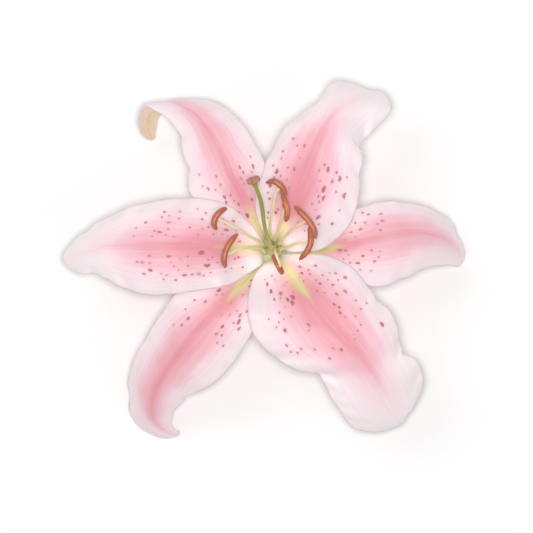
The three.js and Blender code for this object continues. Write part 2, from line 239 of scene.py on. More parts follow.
def srgb(red, green, blue):
    """A colour as it looks on screen, from 0 to 255, in linear light."""
    def linear(c):
        c /= 255
        return c / 12.92 if c <= 0.04045 else ((c + 0.055) / 1.055) ** 2.4
    return (linear(red), linear(green), linear(blue), 1)


# ---- Materials ---------------------------------------------------------------------------------------

def petal_skin(name, blush_colour):
    """A tepal's skin: pale margins, veined blush, green nectary, and a paler underside with a green rib."""
    n = Nodes(name)
    n.shine_through(0.45, (1.0, 0.7, 0.65), 2.2)
    n.shader.inputs["Sheen Weight"].default_value = 0.3
    veins = n.noise(n.grain(0.018, 0.9), 1.0, detail=4)
    fine = n.noise(n.grain(0.05, 2.6), 1.0, detail=2)
    cloud = n.noise(n.grain(0.05, 0.08), 1.0, detail=2)
    veined = n.spread(veins, 0.3, 0.7, -0.11, 0.11)
    streaks = n.math("ADD", veined, n.spread(fine, 0.3, 0.7, -0.07, 0.07))
    streaks = n.math("ADD", streaks, n.spread(cloud, 0.35, 0.65, -0.1, 0.1))
    blush = n.attribute("blush")
    # the streaks show most where the blush is half way, and fade in the white and in the deepest pink
    showing = n.math("MULTIPLY", n.math("MULTIPLY", blush, n.math("SUBTRACT", 1.15, blush)), 2.2)
    uneven = n.math("ADD", blush, n.math("MULTIPLY", streaks, showing), clamp=True)
    margin = n.mix(n.spread(veins, 0.3, 0.7), srgb(251, 236, 239), srgb(249, 228, 233))
    pale = n.mix(n.math("MULTIPLY", uneven, 2.0, clamp=True), margin, srgb(247, 206, 215))
    base = n.mix(n.spread(uneven, 0.4, 1.0), pale, blush_colour)
    rimmed = n.mix(n.attribute("edge"), base, srgb(238, 196, 206))
    halo = n.mix(n.math("MULTIPLY", n.attribute("halo"), 0.42), rimmed, srgb(226, 146, 164))
    nectar = n.math("MULTIPLY", n.attribute("nectary"), n.spread(fine, 0.3, 0.7, 0.8, 1.05), clamp=True)
    green = n.mix(n.spread(fine, 0.35, 0.65), srgb(228, 222, 164), srgb(212, 214, 144))
    # whiter near the throat: partly the throat's own paler base, partly painted light that offsets the shade
    # deep in the funnel
    with_pale_throat = n.mix(n.attribute("pale_throat_and_painted_light"), halo, srgb(255, 250, 250))
    upper = n.mix(nectar, with_pale_throat, green)
    pallid = n.mix(n.spread(veins, 0.3, 0.7), srgb(250, 232, 231), srgb(246, 219, 220))
    flushed = n.mix(n.math("MULTIPLY", blush, 0.8), pallid, srgb(242, 184, 192))
    # buff underside of the tips: partly its own colour, partly painted shade inside the rolled sepal's curl
    buff = n.mix(n.spread(fine, 0.3, 0.7), srgb(247, 230, 204), srgb(234, 206, 166))
    with_buff_and_shade = n.mix(n.attribute("underside_buff_and_shade"), flushed, buff)
    lower = n.mix(n.attribute("rib"), with_buff_and_shade, srgb(220, 218, 162))
    n.colour(n.mix(n.attribute("under"), upper, lower))
    n.roughness(veins, 0.42, 0.6)
    n.bump(n.math("ADD", veins, n.math("MULTIPLY", fine, 0.5)), 0.35, 0.25)
    return n.material


def freckle_skin():
    n = Nodes("freckle")
    mottle = n.noise(n.place(900), 1.0)
    base = n.mix(n.spread(mottle, 0.3, 0.7), srgb(204, 122, 136), srgb(184, 104, 114))
    hue = n.mix(n.attribute("warm"), base, srgb(190, 124, 108))
    n.colour(n.mix(n.attribute("faint"), hue, srgb(240, 178, 190)))
    n.roughness(mottle, 0.45, 0.65)
    n.bump(mottle, 0.3, 0.1)
    return n.material


def stalk_skin(name, bottom, middle, top):
    """A stalk whose colour changes from its bottom to its top."""
    n = Nodes(name)
    n.shine_through(0.1, (0.8, 0.7, 0.3), 1.0)
    lines = n.noise(n.grain(0.06, 1.6), 1.0, detail=3)
    along = n.attribute("along")
    low = n.mix(n.spread(along, 0.0, 0.55), bottom, middle)
    base = n.mix(n.spread(along, 0.55, 1.0), low, top)
    shade = n.mix(n.spread(lines, 0.35, 0.7), (0.86, 0.88, 0.84, 1), (1, 1, 1, 1))
    n.colour(n.mix(1.0, base, shade, blend="MULTIPLY"))
    n.roughness(lines, 0.38, 0.54)
    n.bump(lines, 0.4, 0.12)
    return n.material


def pollen_skin():
    """Powdery pollen: grains and patches, with a painted highlight along the anther's upturned top, and
    painted shade down its sides and in the slit between its lobes.
    """
    n = Nodes("pollen")
    n.shader.inputs["Sheen Weight"].default_value = 0.25
    grains = n.cells(n.place(1000), 4.5)
    patches = n.noise(n.place(1000), 0.5)
    base = n.mix(n.spread(patches, 0.35, 0.65), srgb(176, 88, 62), srgb(194, 106, 76))
    # painted highlight: lighter where the pod's surface faces up
    painted_top_highlight = n.math("MULTIPLY", n.attribute("painted_top_highlight"), n.spread(patches, 0.3, 0.6, 0.55, 1.0))
    lit = n.mix(painted_top_highlight, base, srgb(228, 146, 104))
    dusty = n.mix(n.spread(grains, 0.0, 0.5, 0.45, 0.0), lit, srgb(232, 158, 116))
    # painted shade: darker where the pod's surface turns sideways or down
    with_painted_side_shade = n.mix(n.attribute("painted_side_shade"), dusty, srgb(150, 74, 58))
    # painted shade: darker in the slit and the grooves between the pod's lobes
    n.colour(n.mix(n.attribute("recess_shade"), with_painted_side_shade, srgb(140, 68, 52)))
    n.roughness(patches, 0.72, 0.95)
    n.bump(grains, 0.6, -0.12)
    return n.material


def stigma_skin():
    n = Nodes("stigma_skin")
    beads = n.cells(n.place(1000), 3.2)
    patches = n.noise(n.place(1000), 0.45)
    base = n.mix(n.spread(patches, 0.35, 0.65), srgb(196, 138, 112), srgb(178, 112, 98))
    pearly = n.mix(n.spread(beads, 0.0, 0.5), srgb(214, 160, 134), base)
    # painted shade: darker in the notches between the lobes and in the dip in the middle
    n.colour(n.mix(n.math("MULTIPLY", n.attribute("recess_shade"), 0.6), pearly, srgb(138, 88, 78)))
    n.roughness(patches, 0.34, 0.58)
    n.bump(beads, 0.7, -0.15)
    return n.material


def floor_skin():
    n = Nodes("pale_floor")
    cloud = n.noise(n.place(3), 1.0)
    n.colour(n.mix(cloud, (0.93, 0.93, 0.93, 1), (0.95, 0.95, 0.95, 1)))
    n.roughness(cloud, 0.84, 0.94)
    n.bump(n.noise(n.place(260), 1.0), 0.08, 0.1)
    return n.material


# ---- Tepals ------------------------------------------------------------------------------------------

# Each tepal runs from its base to its tip along three rails: its left edge, midrib and right edge, as seen
# from the bloom's axis. Each point is [x, y, lift]: lift is its height above the whorl's funnel. base is the
# direction in which its claw leaves the axis. puff is how far each half swells between midrib and edge. Each
# nick in a margin is (x, y, depth, how far it runs towards the base, how far towards the tip).
PETALS = {
    "petal_left": dict(
        base=178, puff=1.8,
        nicks_left=[(-80, -11, 0.9, 3, 4)], nicks_right=[(-82, 10, 0.7, 3, 5)],
        left=[
            [-5, -6.5, 0], [-10, -10, -0.5], [-20, -15.8, -1], [-35, -18.5, -2.5], [-50, -20.3, -4],
            [-64, -18, -5], [-76, -12.4, -4], [-86.5, -10.4, -9], [-92.9, -7.3, -13],
        ],
        mid=[
            [-8, 0.3, 0], [-14, 0.7, 0], [-24, 1.2, 0], [-37, 1.7, 0], [-50, 2, 0],
            [-63, 2.2, -1], [-76, 1.5, -3], [-87, -1.5, -7], [-94, -4, -12.5],
        ],
        right=[
            [-5.5, 6, 0], [-10.5, 12.3, -0.5], [-19.5, 20, -1], [-33, 23.3, -2.5], [-48, 22.7, -4],
            [-62, 19.5, -4], [-76, 13.8, -6], [-87.5, 5.8, -9], [-94, -1.5, -13],
        ],
    ),
    "petal_upper_right": dict(
        base=60, puff=1.8,
        nicks_left=[(20, 66, 0.9, 3, 4)], nicks_right=[(40.5, 44.5, 2.4, 1.1, 6), (39.5, 33, 0.9, 3, 4)],
        left=[
            [-3, 7.3, 0], [-6.3, 14, -0.5], [-7.6, 22, -1], [-4.5, 34, -2], [0, 45, -4],
            [8, 56.8, -5], [19, 65.5, -3], [28, 75.6, -8], [37, 74.6, -12], [40.5, 73, -13],
        ],
        mid=[
            [4, 7, 0], [7, 13, 0], [10.5, 22, 0], [14.5, 33, 0], [18.5, 43, 0],
            [23, 53, 0], [29, 62, -1], [36.5, 68, -4], [42, 71, -9], [44, 71.6, -11],
        ],
        right=[
            [8, -0.6, 0], [14, -0.6, -0.5], [24, 1.2, -1], [35.5, 12, -2], [39.3, 27, -4],
            [41, 41, -2], [44, 51.5, -6], [53.6, 63, -5], [51.5, 69.6, -9], [47.5, 72, -11],
        ],
    ),
    "petal_lower_right": dict(
        base=-54, puff=1.8,
        nicks_left=[(46, -22.5, 1.2, 2.5, 3), (58.8, -46.2, 2.4, 2.2, 3), (61.5, -74, 1.3, 2, 3)],
        nicks_right=[(18, -55.5, 1.7, 1.2, 4), (30, -72, 0.6, 3, 3)],
        left=[
            [7.5, -2, 0], [14, -1.9, -0.5], [25, -2.6, -1], [36, -8, -2], [44.5, -18.5, -4], [54, -28.6, -3],
            [58.6, -43.5, -5], [66, -51.2, -3], [68, -60, -7], [63, -72, -12], [59.3, -77.6, -15],
        ],
        mid=[
            [4.5, -6.5, 0], [8.5, -11.5, 0], [15.5, -20, 0], [22.5, -29, 0], [30, -37.5, 0],
            [37.5, -45.5, 0], [43.5, -53, -1], [49, -61.5, -3], [53.5, -69, -6], [56.5, -75, -10],
            [58, -78.3, -14.5],
        ],
        right=[
            [-4, -7, 0], [-8.5, -13, -0.5], [-11, -24, -1], [-9, -36.5, -2], [0.5, -47.5, -4],
            [12, -54.2, -2], [20.5, -56, -5], [28, -69, -5], [37, -80, -9], [48.5, -81.8, -13],
            [56.5, -79.3, -15],
        ],
    ),
}

SEPALS = {
    "sepal_upper_left": dict(
        base=119, puff=1.2,
        nicks_left=[(-38, 35.5, 1.5, 1.6, 4), (-42, 50.5, 1.0, 1.5, 3)],
        left=[
            [-8, 5, 0], [-17, 12, -0.5], [-27, 18, -1], [-36.5, 25, -1.5], [-38.3, 34.5, -2], [-40.3, 45, -1],
            [-44, 55.5, 2], [-50.5, 62, 6], [-57.3, 64.2, 8], [-60.3, 57, 0.5], [-57.8, 50.5, -12],
        ],
        mid=[
            [-4.5, 8, 0], [-9, 16, 0], [-13.5, 24.5, 0], [-18, 33, 0], [-22, 42, 0], [-27, 52, 0],
            [-35, 62, 0], [-46, 66.4, 0], [-55.2, 63, -2], [-57, 56, -11.5], [-55.5, 50, -22],
        ],
        right=[
            [0, 9.5, 0], [0, 18, -0.5], [-0.5, 28, -1], [-3.5, 40, -2], [-9.5, 51, -2], [-18, 61.5, -3],
            [-29.5, 68.3, -5], [-41, 66, -11], [-50.8, 60, -15], [-52.4, 54.5, -22.5], [-53, 49.5, -31.5],
        ],
    ),
    "sepal_right": dict(
        base=2, puff=1.2,
        nicks_left=[(58, 22, 0.6, 4, 4)], nicks_right=[(57, -14, 0.7, 4, 3)],
        left=[
            [7, 4.5, 0], [14, 8, -0.5], [24, 12.5, -1], [36, 17.5, -2], [48, 21.3, -3],
            [60, 21.8, -2], [71, 18.8, -3], [80, 13, -7], [85.5, 4.5, -12.5], [88.3, -2.5, -17.4],
        ],
        mid=[
            [9, 0.3, 0], [17, 0.3, 0], [27, 1, 0], [38, 3, 0], [49, 5.5, 0],
            [60, 7.3, 0], [70, 7.3, 0], [78, 5, -2], [83.5, 0.5, -9.5], [86.5, -5.5, -19.5],
        ],
        right=[
            [7.5, -4, 0], [15, -7, -0.5], [26, -10.5, -1], [37, -14, -2], [47, -16.5, -3],
            [57, -14.3, -2], [67, -9, -2], [75, -7, -3], [81.5, -6.8, -10.5], [85, -8.2, -21.5],
        ],
    ),
    "sepal_lower_left": dict(
        base=-130, puff=1.2,
        nicks_left=[(-37.5, -66, 1.6, 2.5, 3)], nicks_right=[(-65, -66, 1.0, 2, 3)],
        left=[
            [-2.5, -8.5, 0], [-4, -17, -0.5], [-6, -27, -1], [-9, -36.5, -2], [-15.6, -48, -3],
            [-24.2, -58.4, -2], [-34.5, -64.2, -4], [-42.2, -70.2, -5], [-45.6, -77.8, -7],
            [-43.6, -81.6, -10], [-41.4, -82, -12.6],
        ],
        mid=[
            [-6, -7, 0], [-12, -14, 0], [-19, -21.5, 0], [-27, -29.5, 0], [-35, -38, 0], [-42.5, -47, 0],
            [-49, -56.5, 0], [-53.8, -67, 0], [-53.5, -77, -3], [-46.5, -83.2, -8], [-42, -83, -12.6],
        ],
        right=[
            [-9, -4.5, 0], [-19, -9.5, -0.5], [-31, -15, -1], [-43, -19.8, -2], [-51, -30, -3],
            [-58, -42, -2], [-64, -54, -3], [-65.2, -66, -3], [-61.5, -79, -3.5], [-50, -85.4, -6.7],
            [-41.8, -84.4, -12.35],
        ],
    ),
}

# A whorl's funnel climbs steeply from its foot, levels off and then droops. ring is how far from the axis its
# claws stand, and claw how many degrees of the rim each one wraps. The blush runs along the midrib to a share
# of the tepal's length, over a share of its half width.
PETAL_WHORL = dict(
    start=5, foot=10, climb=42, ease=13, droop=14, ring=4.8, claw=84,
    blush_reach=0.68, blush_width=0.46, ruffle=1.0,
)
SEPAL_WHORL = dict(
    start=6, foot=8, climb=40, ease=13.5, droop=36, ring=6.55, claw=68,
    blush_reach=0.86, blush_width=0.36, ruffle=0.6,
)
FUNNEL_REACH = 95

# how deep the pink along each tepal's midrib is, from 0 to 1
BLUSH_DEPTH = {
    "petal_left": 0.47, "petal_upper_right": 0.52, "petal_lower_right": 0.57,
    "sepal_upper_left": 0.4, "sepal_right": 0.42, "sepal_lower_left": 0.56,
}
# and how much pink its outer third holds from edge to edge
TIP_FLUSH = {
    "petal_left": 0.0, "petal_upper_right": 0.0, "petal_lower_right": 0.0,
    "sepal_upper_left": 0.05, "sepal_right": 0.1, "sepal_lower_left": 0.27,
}

# how far from the axis each tepal's green nectary streak reaches
NECTARY_REACH = {
    "petal_left": 30, "petal_upper_right": 24, "petal_lower_right": 34,
    "sepal_upper_left": 29, "sepal_right": 38, "sepal_lower_left": 36,
}

# the sepal whose rolled-over tip shows a buff underside: partly the underside's own colour, partly painted
# shade inside the curl
ROLLED_SEPAL = "sepal_upper_left"

GRAIN_HALF_WIDTH = 14  # each half holds as many veins as one this wide, and a narrower half crowds them
STEPS_ALONG = 260
STEPS_ACROSS = 72
MIDDLE = STEPS_ACROSS // 2  # the midrib's column in a tepal's grid

TIP_ROUNDING = 0.025  # the share of its length over which a tip is rounded off
CREASE = 0.04  # how far the fold along the midrib is rounded, as a share of the half width

# Margins and blades wave with these lengths and heights, and the midrib sinks by RIB_DEPTH.
RUFFLE_LENGTH, FINE_RUFFLE_LENGTH, RUFFLE_HEIGHT = 17, 9.5, 0.55
ROLL_LENGTH, ROLL_HEIGHT = 41, 0.5
RIB_DEPTH, RIB_WIDTH = 0.55, 1.3

# A blade is MARGIN_THICKNESS at its margin, with this much more in its middle, along its rib and at its base.
MARGIN_THICKNESS, BODY_THICKNESS, RIB_THICKNESS, BASE_THICKNESS = 0.3, 0.5, 0.7, 0.25


def funnel_height(whorl, radius):
    out = max(radius - whorl["start"], 0)
    climb = whorl["climb"] * (1 - math.exp(-out / whorl["ease"]))
    return whorl["foot"] + climb - whorl["droop"] * (radius / FUNNEL_REACH) ** 3


def rail(points, whorl, angle):
    foot = [whorl["ring"] * math.cos(angle), whorl["ring"] * math.sin(angle), SEAT]
    drawn = [[x, y, funnel_height(whorl, math.hypot(x, y)) + lift] for x, y, lift in points]
    return np.array([foot, *drawn])


class Tepal:
    """A tepal's middle surface on a fine grid, with its normals and its distances in millimetres."""

    def __init__(self, name, shape, whorl):
        self.name = name
        self.whorl = whorl
        base, claw = math.radians(shape["base"]), math.radians(whorl["claw"]) / 2
        rails = (
            rail(shape["left"], whorl, base + claw),
            rail(shape["mid"], whorl, base),
            rail(shape["right"], whorl, base - claw),
        )
        steps = np.linspace(0, 1, STEPS_ALONG + 1)
        self.v = np.linspace(-1, 1, STEPS_ACROSS + 1)
        left, mid, right = (catmull(r, steps)[:, None, :] for r in rails)
        t, v = steps[:, None], self.v[None, :]
        # the very tip is rounded off, and each nick is taken out of its own margin
        narrowing = np.sqrt(1 - np.clip((t - (1 - TIP_ROUNDING)) / TIP_ROUNDING, 0, 0.9) ** 2)
        left_nicks = self.nicks(left, mid, shape.get("nicks_left", []))
        right_nicks = self.nicks(right, mid, shape.get("nicks_right", []))
        inset = np.where(v < 0, left_nicks, right_nicks)
        w = (v * narrowing * (1 - inset * smoothstep(0.25, 1.0, np.abs(v))))[..., None]
        flat = mid + (right - left) * w / 2 + ((left + right) / 2 - mid) * w**2
        self.up = self.normals(flat)
        fold = np.sqrt(v**2 + CREASE**2) - CREASE
        swell = shape["puff"] * np.sqrt(np.sin(np.pi * t)) * 4 * fold * (1 - np.abs(v))
        self.surface = flat + self.up * swell[..., None]
        self.s = self.distance(self.surface, 0)  # from the base
        d = self.distance(self.surface, 1)
        self.d = d - d[:, [MIDDLE]]  # from the midrib, negative on its left
        self.length = self.s[-1, MIDDLE]
        self.half = np.maximum(np.abs(self.d[:, [0]]), np.abs(self.d[:, [-1]]))

    @staticmethod
    def nicks(edge, mid, wanted):
        """The share of the half width that the margin's nicks take, at each step along it."""
        edge, mid = edge[:, 0], mid[:, 0]
        along = np.concatenate([[0], np.cumsum(np.linalg.norm(np.diff(edge, axis=0), axis=1))])
        taken = np.zeros(len(along))
        for x, y, depth, before, after in wanted:
            at = along[np.argmin(np.hypot(edge[:, 0] - x, edge[:, 1] - y))]
            taken += depth * np.where(along < at, bell(along - at, before), bell(along - at, after))
        return (taken / np.maximum(np.linalg.norm(edge - mid, axis=1), 3))[:, None]

    @staticmethod
    def normals(grid):
        along = np.gradient(grid, axis=0)
        across = np.gradient(grid, axis=1)
        up = unit(np.cross(across, along))
        up[-1] = up[-2]
        return up

    @staticmethod
    def distance(grid, axis):
        steps = np.linalg.norm(np.diff(grid, axis=axis), axis=-1)
        start = np.zeros_like(np.take(steps, [0], axis=axis))
        return np.cumsum(np.concatenate([start, steps], axis=axis), axis=axis)


def ruffled(tepal, phase):
    """The surface with its margins waved, its midrib sunk and its blade gently rolling."""
    share = tepal.s / tepal.length
    v = tepal.v[None, :]
    turn = 2 * np.pi * tepal.s
    side = np.where(v < 0, 0.0, 2.1)
    ends = smoothstep(0.12, 0.35, share) * smoothstep(1.0, 0.9, share)
    wave = np.sin(turn / RUFFLE_LENGTH + phase + side)
    wave += 0.5 * np.sin(turn / FINE_RUFFLE_LENGTH + 2.3 * phase + side)
    margin = smoothstep(0.55, 1.0, np.abs(v)) * ends * wave * RUFFLE_HEIGHT * tepal.whorl["ruffle"]
    roll = np.sin(turn / ROLL_LENGTH + 3 * v + phase) * np.abs(v) * ends * ROLL_HEIGHT
    sunk = RIB_DEPTH * bell(tepal.d, RIB_WIDTH) * smoothstep(0.02, 0.12, share) * smoothstep(1.0, 0.75, share)
    return tepal.surface + tepal.up * (margin + roll - sunk)[..., None]


def thickness(tepal):
    share = tepal.s / tepal.length
    v = np.abs(tepal.v[None, :])
    body = MARGIN_THICKNESS + BODY_THICKNESS * (1 - v**2.5) * (1 - 0.4 * share)
    rib = RIB_THICKNESS * bell(tepal.d, 1.9) * (1 - 0.75 * share)
    base = BASE_THICKNESS * smoothstep(0.15, 0.0, share)
    return body + rib + base


def shell_faces(rows, columns):
    """Faces of a closed sheet: its upper grid, its lower grid turned over, and the rim between them."""
    grid = np.arange(rows * columns).reshape(rows, columns)
    a, b, c, d = grid[:-1, :-1], grid[:-1, 1:], grid[1:, 1:], grid[1:, :-1]
    top = np.stack([a, b, c, d], -1).reshape(-1, 4)
    below = rows * columns
    bottom = top[:, ::-1] + below
    rim = np.concatenate([grid[0, :], grid[1:, -1], grid[-1, -2::-1], grid[-2:0:-1, 0]])
    after = np.roll(rim, -1)
    edge = np.stack([after, rim, rim + below, after + below], -1)
    return np.concatenate([top, bottom, edge]).tolist()


def blush(tepal, share, v, radius):
    """How pink each point is: a band along the midrib, a pale wash, a pool near the throat, a flushed tip."""
    whorl = tepal.whorl
    fade = smoothstep(whorl["blush_reach"] + 0.3, whorl["blush_reach"] - 0.12, share)
    start = smoothstep(0.1, 0.42, share) * 0.35 + 0.65
    wide = whorl["blush_width"] * (0.8 + 0.5 * bell(share - 0.45, 0.3))
    band = np.exp(-((v / wide) ** 1.35)) * fade * start * BLUSH_DEPTH[tepal.name]
    wash = 0.4 * smoothstep(1.05, 0.3, v) * smoothstep(1.05, 0.5, share)
    pool = 0.3 * bell(v, 0.3) * bell(radius - 30, 13)
    flush = TIP_FLUSH[tepal.name] * smoothstep(0.5, 0.85, share) * smoothstep(2.2, 0.1, v)
    return np.clip(band + wash + pool + flush, 0, 1)


def nectary(tepal, radius):
    """The green streak in the throat, which thins out to a point along the midrib."""
    reach = NECTARY_REACH[tepal.name]
    tongue = 2.5 * smoothstep(reach, reach - 20.0, radius) + 0.6
    streak = np.clip(1.2 * bell(tepal.d, tongue) * smoothstep(reach, reach - 12.0, radius), 0, 1)
    # the streak is weaker in the deepest throat, which keeps the shaded throat paler there: painted light
    return streak * (0.7 + 0.3 * smoothstep(7.0, 15.0, radius))


def halos(points, freckles):
    """The soft pink that rings each freckle, (x, y, size)."""
    halo = np.zeros(points.shape[:2])
    for x, y, size in freckles:
        near = np.hypot(points[..., 0] - x, points[..., 1] - y)
        halo = np.maximum(halo, bell(near, 0.5 * size + 0.25) * 0.8)
    return halo


def markings(tepal, surface, upper, freckles):
    """The values from 0 to 1 that colour a tepal, by name, at each point of its grid."""
    share = tepal.s / tepal.length
    v = np.abs(tepal.v[None, :])
    radius = np.hypot(surface[..., 0], surface[..., 1])
    # on the rolled sepal the buff is deepest from its midrib to its right margin and fades towards its left
    # one, which is painted shade inside the curl; the other tips get an even buff underside
    rolled = smoothstep(-1.1, 0.1, tepal.v[None, :]) if tepal.name == ROLLED_SEPAL else 0.25
    return dict(
        blush=blush(tepal, share, v, radius),
        nectary=nectary(tepal, radius),
        # partly the throat's paler base, partly painted light against the funnel's shade
        pale_throat_and_painted_light=0.4 * smoothstep(12.0, 5.0, radius),
        halo=halos(upper, freckles),
        edge=0.7 * smoothstep(0.955, 1.0, v) * smoothstep(0.2, 0.4, share),
        rib=0.85 * bell(tepal.d, 2.2) * smoothstep(0.75, 0.15, share),
        underside_buff_and_shade=smoothstep(0.74, 0.93, share) * rolled,
    )


def tepal_mesh(tepal, phase, freckles):
    """A tepal's closed blade, with its upper surface and the normals of its middle one."""
    surface = ruffled(tepal, phase)
    up = Tepal.normals(surface)
    thick = thickness(tepal)[..., None]
    upper, lower = surface + up * thick / 2, surface - up * thick / 2

    def on_both(values):
        return np.tile(values.ravel(), 2)

    attributes = {key: on_both(values) for key, values in markings(tepal, surface, upper, freckles).items()}
    attributes["under"] = np.repeat([0, 1], thick.size)
    uv = np.stack([on_both(tepal.s), on_both(tepal.d / np.maximum(tepal.half, 0.6) * GRAIN_HALF_WIDTH)], -1)
    points = np.concatenate([upper.reshape(-1, 3), lower.reshape(-1, 3)]) + AXIS
    obj = make_mesh(tepal.name + "_blade", points, shell_faces(*thick.shape[:2]), attributes, uv)
    return obj, upper, up


# ---- Freckles ----------------------------------------------------------------------------------------

# For each tepal: how many freckles, the distances from the axis between which they lie, and the longest one.
FRECKLES = {
    "petal_left": (64, 15, 63, 3.2),
    "petal_upper_right": (56, 15, 58, 3.4),
    "petal_lower_right": (64, 13, 58, 3.8),
    "sepal_upper_left": (30, 19, 47, 2.8),
    "sepal_right": (36, 22, 54, 3.0),
    "sepal_lower_left": (34, 17, 53, 2.7),
}
FRECKLE_SPACING = 2.3  # the least distance between two freckles' middles
SHORTEST_FRECKLE = 0.8
FRECKLE_RINGS, FRECKLE_SIDES = 5, 14
FRECKLE_TRIES = 80  # places tried for each freckle that is wanted
FRECKLE_SINK = 0.12  # how far its rim lies below the petal's skin


def scatter(tepal, count, near, far, longest):
    """Freckles as (row, column, length): on both sides of the midrib, thickest nearer the throat."""
    radius = np.hypot(tepal.surface[:, MIDDLE, 0], tepal.surface[:, MIDDLE, 1])
    chosen = []
    for _ in range(count * FRECKLE_TRIES):
        if len(chosen) == count:
            break
        # the draws crowd them between midrib and margin, and make most of them short
        wanted = near + (far - near) * rng.beta(1.35, 1.75)
        v = rng.choice([-1, 1]) * (0.12 + 0.68 * rng.beta(1.8, 1.7))
        i = int(np.argmax(radius > wanted))
        j = int(round((v + 1) / 2 * STEPS_ACROSS))
        here = tepal.surface[i, j]
        if any(np.linalg.norm(here - tepal.surface[a, b]) < FRECKLE_SPACING for a, b, _ in chosen):
            continue
        chosen.append((i, j, SHORTEST_FRECKLE + (longest - SHORTEST_FRECKLE) * rng.beta(0.9, 3.6)))
    return chosen


def freckle_faces(first):
    """Faces of one pad, whose points start at this index: rings that close on a tip, and a flat bottom."""
    faces = []
    for i in range(FRECKLE_RINGS - 1):
        for j in range(FRECKLE_SIDES):
            a = first + i * FRECKLE_SIDES + j
            b = first + i * FRECKLE_SIDES + (j + 1) % FRECKLE_SIDES
            faces.append((a, b, b + FRECKLE_SIDES, a + FRECKLE_SIDES))
    last, tip = first + (FRECKLE_RINGS - 1) * FRECKLE_SIDES, first + FRECKLE_RINGS * FRECKLE_SIDES
    faces.extend((last + j, last + (j + 1) % FRECKLE_SIDES, tip) for j in range(FRECKLE_SIDES))
    faces.append(tuple(first + j for j in range(FRECKLE_SIDES - 1, -1, -1)))
    return faces


def freckle_mesh(name, upper, up, chosen):
    """Low raised pads on a tepal's upper surface, longer along it than across."""
    points, faces, warm, faint = [], [], [], []
    for i, j, size in chosen:
        centre, normal = upper[i, j], up[i, j]
        along = unit(upper[min(i + 2, STEPS_ALONG), j] - upper[i - 2, j])
        across = np.cross(normal, along)
        bend = rng.uniform(-0.35, 0.35)
        length, width = size * rng.uniform(0.52, 0.7), size * rng.uniform(0.22, 0.32) + 0.1
        rise = 0.1 + 0.11 * size
        hue = rng.uniform() ** 1.8
        pale = float(np.clip(rng.normal(0.6 - 0.28 * size, 0.18), 0, 0.85))
        wobble = rng.uniform(0, 2 * math.pi)
        faces.extend(freckle_faces(len(points)))
        for ring in range(FRECKLE_RINGS):
            height = ring / FRECKLE_RINGS * math.pi / 2
            out = math.cos(height)
            lift = rise * math.sin(height) - FRECKLE_SINK * (ring == 0)
            for angle in ring_angles(FRECKLE_SIDES):
                edge = 1 + 0.12 * math.sin(2 * angle + wobble) + 0.08 * math.sin(3 * angle + 2 * wobble)
                a = length * out * edge * math.cos(angle)
                c = width * out * edge * math.sin(angle) + bend * a * a / max(length, 0.3)
                points.append(centre + along * a + across * c + normal * lift)
        points.append(centre + normal * rise)
        count = FRECKLE_RINGS * FRECKLE_SIDES + 1
        warm.extend([hue] * count)
        faint.extend([pale] * count)
    return make_mesh(name + "_freckles", np.array(points) + AXIS, faces, dict(warm=warm, faint=faint))


# ---- Organs ------------------------------------------------------------------------------------------

STAMEN_TOP = 72  # the stamens' common height, above the surface
STYLE_RISE = 52
OVARY_LENGTH = 18
FILAMENT_RING, FILAMENT_BASE, FILAMENT_TIP, FILAMENT_POINT = 3.15, 0.8, 0.5, 0.3
ANTHER_RADIUS = 1.4
STYLE_BASE, STYLE_NECK, STYLE_FLARE = 1.15, 0.9, 0.5
STIGMA_RADIUS, STIGMA_RISE = 3.2, 2.4
STIGMA_EDGE = 0.62  # where along its outline the stigma's head turns over its edge
STIGMA_RINGS, STIGMA_SIDES = 34, 72
TURNED_RINGS = 60
STALK_GRAIN_RADIUS, TURNED_GRAIN_RADIUS = 1.5, 3  # the grain goes round each organ as if it were this thick
POLLEN_COARSE, POLLEN_FINE, POLLEN_HEIGHT = 1500, 3100, 0.07  # two grains, in cycles per metre, and a height
BEAD_GRAIN, BEAD_HEIGHT = 1400, 0.12  # the same for the stigma
GAP = 0.35  # between two organs that meet end to end
STYLE_FOOT = SEAT + OVARY_LENGTH + GAP

